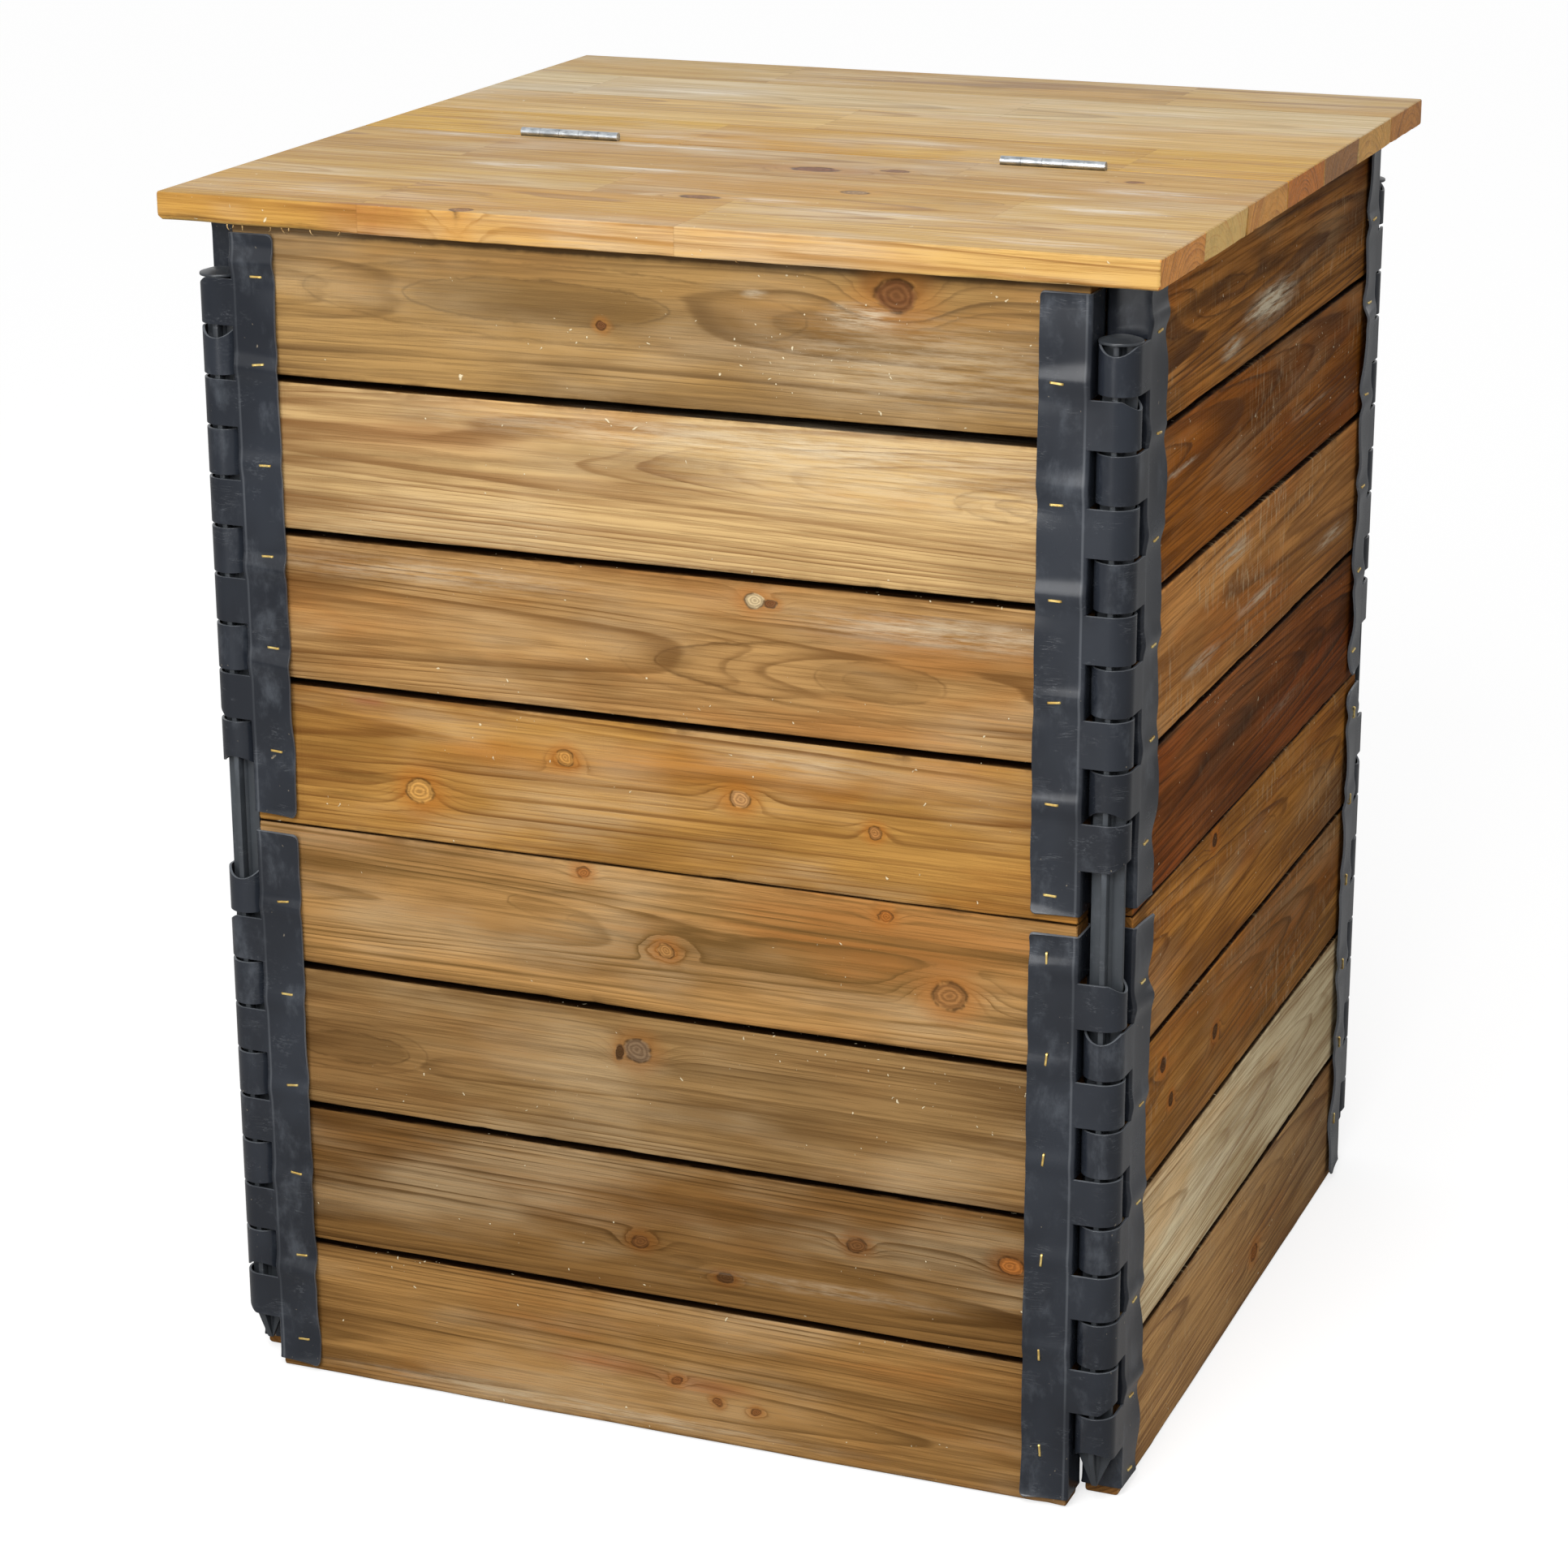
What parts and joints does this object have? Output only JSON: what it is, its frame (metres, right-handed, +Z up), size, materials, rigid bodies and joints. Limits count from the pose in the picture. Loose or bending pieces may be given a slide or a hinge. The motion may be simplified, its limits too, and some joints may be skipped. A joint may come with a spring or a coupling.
{
  "type": "wooden composter",
  "caption": "Square garden composter of stacked boarded panels hinged at the corners on long pins, open below, with a loose wooden lid that has a hinged front flap.",
  "frame": {"origin": "on the ground under the base, midway between the four corner pins", "axes": "+Z up, the front panel with the lid's flap faces -Y, +X to the right as seen from the front"},
  "size_m": [0.642, 0.643, 0.8012],
  "materials": {
    "board_wood": "planed and oiled brown, weathered, with knots",
    "pale_board_wood": "pale planed wood with brown streaks",
    "lid_wood": "honey-coloured glued panel with pale worn patches",
    "strip_plastic": "dark blue-grey sheet, satin, scuffed",
    "pin_plastic": "dark grey moulding, satin",
    "staple_wire": "flattened wire, slightly dull",
    "hinge_steel": "zinc-plated"
  },
  "bodies": {
    "frame": {"lower_front_board_1": "board_wood", "lower_front_board_2": "board_wood", "lower_front_board_3": "board_wood", "lower_front_board_4": "board_wood", "lower_right_board_1": "board_wood", "lower_right_board_2": "board_wood", "lower_right_board_3": "pale_board_wood", "lower_right_board_4": "board_wood", "lower_back_board_1": "board_wood", "lower_back_board_2": "board_wood", "lower_back_board_3": "board_wood", "lower_back_board_4": "board_wood", "lower_left_board_1": "board_wood", "lower_left_board_2": "board_wood", "lower_left_board_3": "board_wood", "lower_left_board_4": "board_wood", "upper_front_board_1": "board_wood", "upper_front_board_2": "board_wood", "upper_front_board_3": "board_wood", "upper_front_board_4": "board_wood", "upper_right_board_1": "board_wood", "upper_right_board_2": "board_wood", "upper_right_board_3": "board_wood", "upper_right_board_4": "board_wood", "upper_back_board_1": "board_wood", "upper_back_board_2": "board_wood", "upper_back_board_3": "board_wood", "upper_back_board_4": "board_wood", "upper_left_board_1": "board_wood", "upper_left_board_2": "board_wood", "upper_left_board_3": "board_wood", "upper_left_board_4": "board_wood", "lower_front_strip_left": "strip_plastic", "lower_front_strip_right": "strip_plastic", "lower_right_strip_left": "strip_plastic", "lower_right_strip_right": "strip_plastic", "lower_back_strip_left": "strip_plastic", "lower_back_strip_right": "strip_plastic", "lower_left_strip_left": "strip_plastic", "lower_left_strip_right": "strip_plastic", "upper_front_strip_left": "strip_plastic", "upper_front_strip_right": "strip_plastic", "upper_right_strip_left": "strip_plastic", "upper_right_strip_right": "strip_plastic", "upper_back_strip_left": "strip_plastic", "upper_back_strip_right": "strip_plastic", "upper_left_strip_left": "strip_plastic", "upper_left_strip_right": "strip_plastic", "staples": "staple_wire"},
    "pin_front_left_body": {"pin_front_left": "pin_plastic"},
    "pin_front_right_body": {"pin_front_right": "pin_plastic"},
    "pin_back_right_body": {"pin_back_right": "pin_plastic"},
    "pin_back_left_body": {"pin_back_left": "pin_plastic"},
    "lid": {"lid_rear_panel": "lid_wood", "rear_hinge_leaves": "hinge_steel", "hinge_pins": "hinge_steel", "rear_hinge_screws": "hinge_steel"},
    "flap": {"lid_flap_panel": "lid_wood", "flap_hinge_leaves": "hinge_steel", "flap_hinge_screws": "hinge_steel"}
  },
  "joints": [
    {"name": "lid_lift", "type": "slide", "parent": "frame", "child": "lid", "axis": [0, 0, 1], "range_m": [0, 0.25]},
    {"name": "flap_hinge", "type": "hinge", "parent": "lid", "child": "flap", "pos_m": [0, -0.038, 0.7982], "axis": [-1, 0, 0], "range_deg": [0, 178]},
    {"name": "pin_front_left_pull", "type": "slide", "parent": "frame", "child": "pin_front_left_body", "axis": [0, 0, 1], "range_m": [0, 0.03]},
    {"name": "pin_front_right_pull", "type": "slide", "parent": "frame", "child": "pin_front_right_body", "axis": [0, 0, 1], "range_m": [0, 0.03]},
    {"name": "pin_back_right_pull", "type": "slide", "parent": "frame", "child": "pin_back_right_body", "axis": [0, 0, 1], "range_m": [0, 0.03]},
    {"name": "pin_back_left_pull", "type": "slide", "parent": "frame", "child": "pin_back_left_body", "axis": [0, 0, 1], "range_m": [0, 0.03]}
  ]
}
